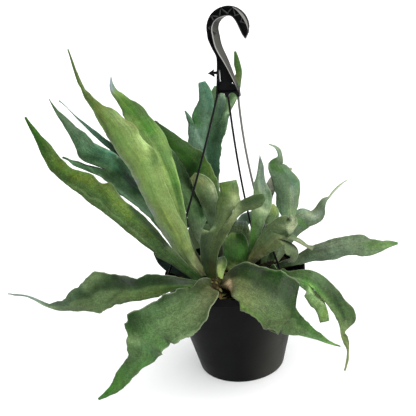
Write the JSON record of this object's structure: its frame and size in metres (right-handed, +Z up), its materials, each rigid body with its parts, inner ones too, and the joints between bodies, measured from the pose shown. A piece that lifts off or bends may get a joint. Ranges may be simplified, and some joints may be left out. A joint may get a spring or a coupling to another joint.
{
  "type": "staghorn fern in a hanging pot",
  "caption": "Staghorn fern: forked strap fronds fanning from brown crowns in a tapered black pot with a three strand hanger and an open hook.",
  "frame": {"origin": "centre of the pot's flat underside, on the surface it stands on", "axes": "+Z up along the pot's axis, +X to the right of the picture, -Y towards the viewer of the picture"},
  "size_m": [0.5594, 0.3138, 0.51],
  "materials": {
    "pot_plastic": "black moulded plastic, satin, slightly scuffed",
    "hanger_plastic": "black moulded plastic, semi-gloss",
    "medium": "damp bark and moss mix, matt",
    "rhizome": "scaly brown crown, matt",
    "leaf_grass": "leathery leaf with a fine grey bloom",
    "leaf_dark": "leathery leaf, dark olive green",
    "leaf_blue": "leathery leaf, blue green",
    "leaf_deep": "leathery leaf, deep shaded green",
    "leaf_olive": "leathery leaf, pale olive green",
    "leaf_fresh": "leathery leaf, fresh green",
    "leaf_pale": "pale felted underside",
    "leaf_sea": "leathery leaf with a grey bloom",
    "leaf_grey": "leathery leaf, grey green",
    "leaf_bright": "young leaf, bright green, faintly glossy",
    "shield_brown": "dry papery shield leaf"
  },
  "bodies": {
    "root": {"pot": "pot_plastic", "growing_medium": "medium", "rhizome_left": "rhizome", "rhizome_centre": "rhizome", "rhizome_right": "rhizome", "rhizome_back": "rhizome", "frond_front_left": "leaf_grass", "frond_left_level": "leaf_dark", "frond_left_rising": "leaf_grass", "frond_left_broad": "leaf_blue", "frond_left_narrow": "leaf_deep", "frond_tall_front": "leaf_olive", "frond_tall_behind": "leaf_fresh", "frond_arching": "leaf_dark", "frond_rolled": "leaf_pale", "frond_back_lobed": "leaf_sea", "frond_centre_forked": "leaf_dark", "frond_upright": "leaf_sea", "frond_right_tall": "leaf_sea", "frond_right_curl": "leaf_sea", "frond_right_folded": "leaf_grey", "frond_right_level": "leaf_grass", "frond_front_right": "leaf_grass", "frond_right_hanging": "leaf_grass", "frond_low_dark": "leaf_deep", "shield_young": "leaf_bright", "shield_old": "shield_brown", "frond_bud": "leaf_pale", "frond_strap": "leaf_grey", "frond_young_green": "leaf_bright", "frond_back_right": "leaf_dark", "frond_back_crossing": "leaf_blue", "frond_back_hanging": "leaf_grass", "frond_back_level": "leaf_sea", "hook": "hanger_plastic", "strand_left": "hanger_plastic", "strand_back": "hanger_plastic", "strand_right": "hanger_plastic"}
  },
  "joints": []
}
